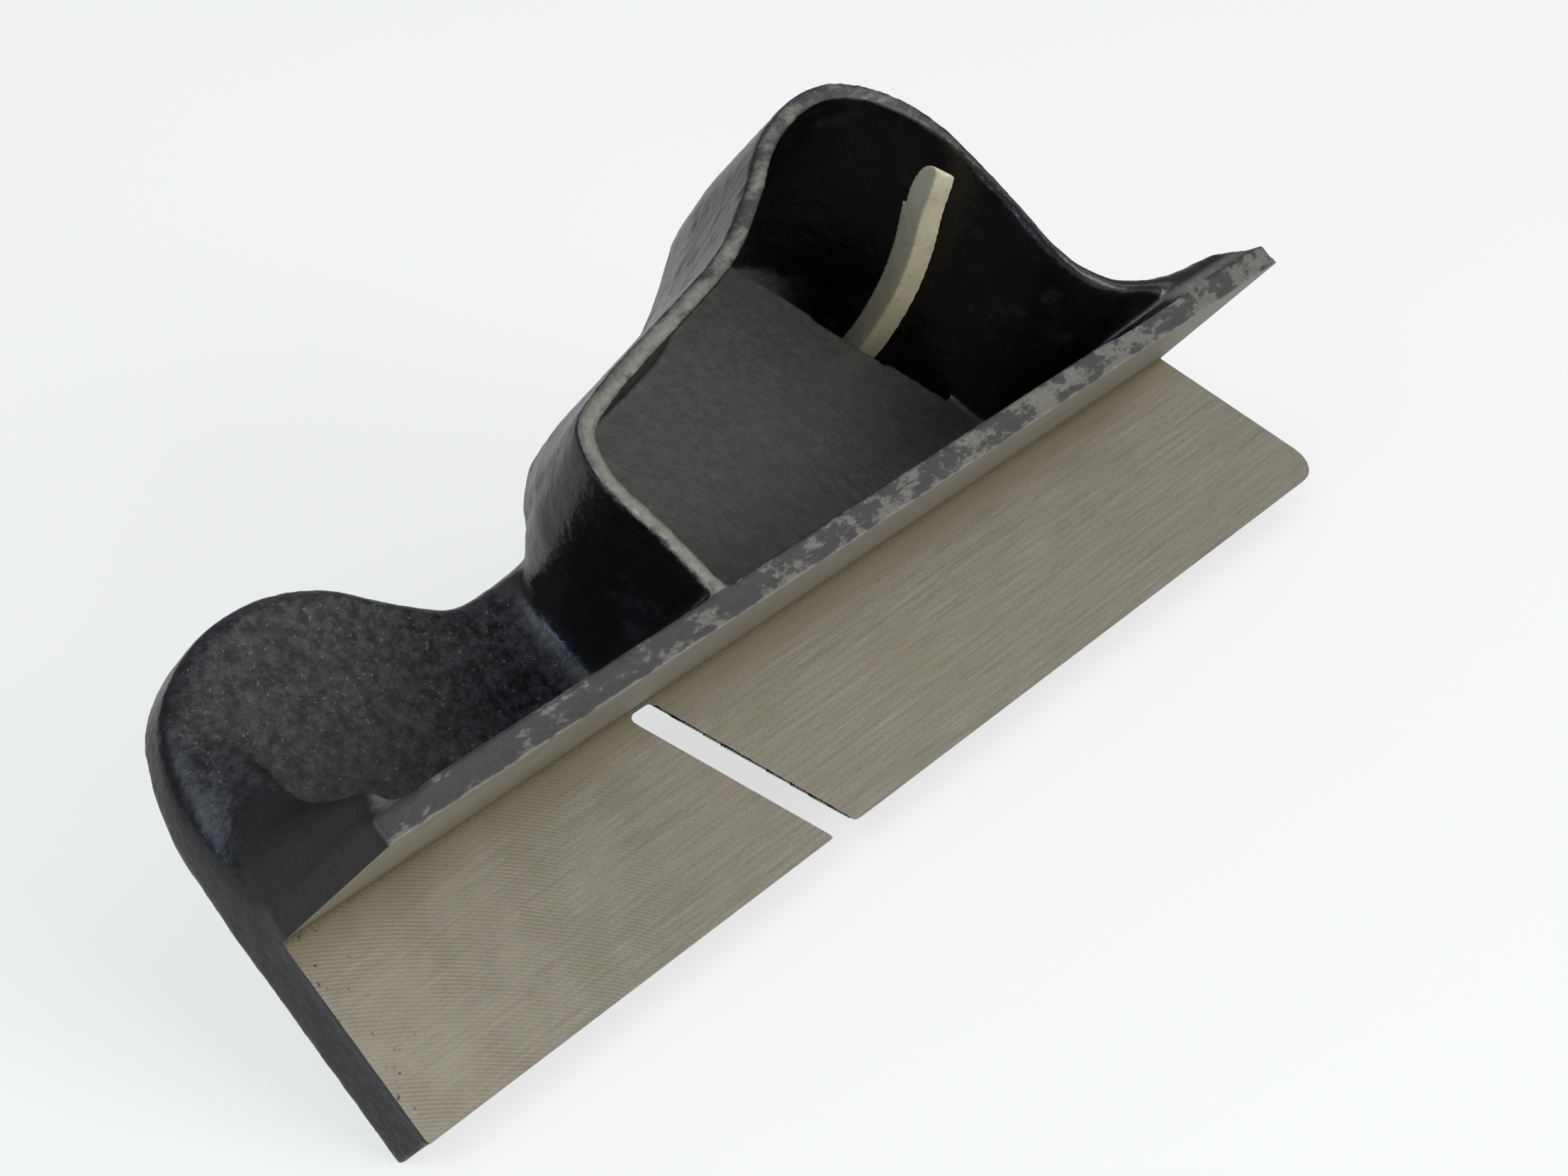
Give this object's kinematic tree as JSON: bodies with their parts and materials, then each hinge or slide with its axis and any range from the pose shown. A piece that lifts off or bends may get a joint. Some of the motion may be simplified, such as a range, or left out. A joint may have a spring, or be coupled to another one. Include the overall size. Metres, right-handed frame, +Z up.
{
  "type": "edge trimming plane",
  "caption": "Small cast hand plane with a sole and fence at a right angle, a skewed cutter fed by a lever in its hollow palm grip, held by a lever cap with a thumb screw.",
  "frame": {"origin": "middle of the footprint's bounding box, on the table it lies on", "axes": "+X from toe to heel along the inner corner of sole and fence, +Y towards the grip's side, +Z up as it lies on its back, sole up"},
  "size_m": [0.1632, 0.0568, 0.0674],
  "materials": {
    "japanned_iron": "black japanning, sole and fence machined bare",
    "tool_steel": "ground",
    "nickel_plate": "worn nickel",
    "blued_steel": "blued",
    "brass": "fluted"
  },
  "bodies": {
    "casting": {"body_casting": "japanned_iron", "cap_fulcrum_screw": "blued_steel", "lever_pivot_screw": "blued_steel", "lever_spring_washer": "tool_steel"},
    "blade": {"cutter": "tool_steel"},
    "adjuster": {"adjusting_lever": "nickel_plate", "lever_drive_pin": "blued_steel"},
    "cap": {"lever_cap": "nickel_plate"},
    "thumb_screw": {"cap_thumb_screw": "brass"}
  },
  "joints": [
    {"name": "lever_swing", "type": "hinge", "parent": "casting", "child": "adjuster", "pos_m": [0.01645, 0.00374, 0.02], "axis": [-0.1801, 0.5602, -0.8085], "range_deg": [-14, 1]},
    {"name": "cutter_feed", "type": "slide", "parent": "casting", "child": "blade", "axis": [0.8471, 0.5061, 0.162], "range_m": [-0.00232, 0.00016]},
    {"name": "cap_slide", "type": "slide", "parent": "casting", "child": "cap", "axis": [0.8471, 0.5061, 0.162], "range_m": [0, 0.009]},
    {"name": "thumb_screw_turn", "type": "hinge", "parent": "cap", "child": "thumb_screw", "pos_m": [0.02661, 0.00981, 0.02194], "axis": [-0.1801, 0.5602, -0.8085], "range_deg": [0, 360]}
  ],
  "couplings": [
    {"joint": "lever_swing", "follows": "cutter_feed", "rad_per_m": 105.26}
  ]
}
